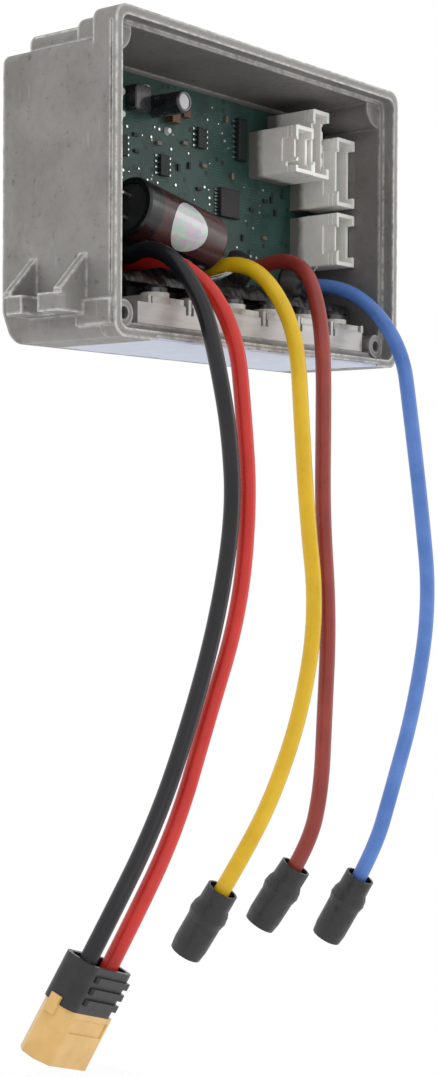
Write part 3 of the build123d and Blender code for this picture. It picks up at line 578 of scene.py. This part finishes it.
def lead(name, points, mat):
    """A lead along the same route as its CAD tube."""
    cu = bpy.data.curves.new(name + "_line", "CURVE")
    cu.dimensions = "3D"
    sp = cu.splines.new("NURBS")
    sp.points.add(len(points) - 1)
    for p, q in zip(sp.points, points):
        p.co = (q[0] / 1000, q[1] / 1000, q[2] / 1000, 1)
    sp.order_u = 3
    sp.use_endpoint_u = True
    cu.resolution_u = 18
    cu.bevel_depth = WIRE_D / 2000
    cu.bevel_resolution = 8
    cu.use_fill_caps = True
    o = bpy.data.objects.new(name + "_skin", cu)
    scene.collection.objects.link(o)
    cu.materials.append(mat)
    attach(o, "root")
    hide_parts(name)


lead("wire_black", [
    (-29.2, 8, 18.9), (-29.2, 1.0, 18.9), (-29.9, -7.0, 20.8), (-29.4, -14.3, 17.2), (-27.9, -20.2, 8.2),
    (-27.2, -23.4, -4.0), (-25.2, -25.2, -19.0), (-23.8, -25.2, -35.5), (-28.9, -25.0, -57.5),
    (-38.1, -25.0, -79.0), (-48.4, -25.2, -97.0), plug_point(-PLUG_PIN, -6.0),
    plug_point(-PLUG_PIN, CAP_LEN)], wire_black)
lead("wire_red", [
    (-24.5, 8, 18.7), (-24.5, 0.5, 18.7), (-24.5, -8.3, 18.9), (-20.9, -16.6, 12.4), (-19.3, -22.2, 1.0),
    (-20.0, -24.6, -14.0), (-18.4, -25.0, -32.5), (-21.4, -25.0, -55.5), (-32.0, -25.0, -77.5),
    (-41.4, -25.0, -98.0), plug_point(PLUG_PIN, -7.0), plug_point(PLUG_PIN, CAP_LEN)],
    wire_red)
lead("wire_yellow", [
    (0.7, 8, 18.9), (0.7, 2.5, 18.9), (0.4, -4.5, 21.0), (1.3, -12.0, 18.6), (2.3, -18.2, 10.6),
    (1.4, -22.6, 1.0), (-0.6, -25.2, -14.5), (0.5, -26.0, -35.0), (4.4, -26.0, -56.5),
    (-0.9, -26.0, -77.5), (-11.3, -26.2, -95.0), sleeve_point("yellow", -8.0),
    sleeve_point("yellow", CUP)], wire_yellow)
lead("wire_brown", [
    (18.4, 8, 22.2), (18.4, 1.5, 22.2), (18.0, -5.5, 23.6), (16.9, -13.2, 20.8), (14.2, -18.8, 11.6),
    (11.0, -22.6, 0.0), (7.2, -25.4, -15.5), (6.2, -26.0, -35.0), (8.9, -26.0, -58.0),
    (7.4, -26.0, -80.0), (5.8, -26.4, -95.5), sleeve_point("brown", -5.5),
    sleeve_point("brown", CUP)], wire_brown)
lead("wire_blue", [
    (40.4, 8, 20.6), (40.4, -2.6, 20.6), (41.7, -13.8, 15.4), (41.4, -23.4, 3.4), (40.4, -26.3, -11.0),
    (45.2, -26.4, -33.0), (50.0, -26.0, -56.0), (43.7, -26.0, -80.0), (33.4, -26.4, -99.0),
    sleeve_point("blue", -7.0), sleeve_point("blue", CUP)], wire_blue)

# ------------------------------------------------------------------ stage, light and camera
FLOOR_HALF = 0.8
FLOOR_Z = -0.5
floor = bpy.data.meshes.new("floor")
floor.from_pydata([(x * FLOOR_HALF, y * FLOOR_HALF, FLOOR_Z)
                   for x, y in ((-1, -1), (1, -1), (1, 1), (-1, 1))],
                  [], [(0, 1, 2, 3)])
floor_obj = bpy.data.objects.new("floor", floor)
scene.collection.objects.link(floor_obj)
floor_mat, nt, b = material("floor_pale", rough=0.9, spec=0.1)
shade = ramp(nt, noise_tex(nt, coords(nt), 3, 2), [(0.3, grey(0.94)), (0.7, grey(0.97))])
nt.links.new(shade, b.inputs["Base Color"])
floor.materials.append(floor_mat)

world = bpy.data.worlds.new("studio")
scene.world = world
world.use_nodes = True
background = world.node_tree.nodes["Background"]
background.inputs["Color"].default_value = (1, 1, 1, 1)
background.inputs["Strength"].default_value = 1.0


def area(name, loc, target, size, power):
    """A rectangular soft light that points at a target."""
    li = bpy.data.lights.new(name, "AREA")
    li.shape = "RECTANGLE"
    li.size, li.size_y = size
    li.energy = power
    o = bpy.data.objects.new(name, li)
    o.location = loc
    o.rotation_euler = (Vector(target) - Vector(loc)).to_track_quat("-Z", "Y").to_euler()
    scene.collection.objects.link(o)


area("key", (-0.15, -0.9, 0.55), (0, 0, 0), (0.7, 0.5), 0.5)
area("side", (0.75, -0.6, 0.1), (0, 0, -0.02), (0.15, 0.6), 0.7)

cam_data = bpy.data.cameras.new("camera")
cam_data.sensor_fit = "VERTICAL"
cam_data.sensor_height = 36.0
cam_data.lens = 60.06
cam_data.clip_start = 0.01
cam = bpy.data.objects.new("camera", cam_data)
turn = (Matrix.Rotation(math.radians(-50.8488), 4, "Z") @ Matrix.Rotation(math.radians(89.2475), 4, "X")
        @ Matrix.Rotation(math.radians(0.2987), 4, "Z"))
cam.matrix_world = Matrix.Translation((-0.31273, -0.25654, -0.03542)) @ turn
scene.collection.objects.link(cam)
scene.camera = cam
scene.view_settings.view_transform = "Standard"
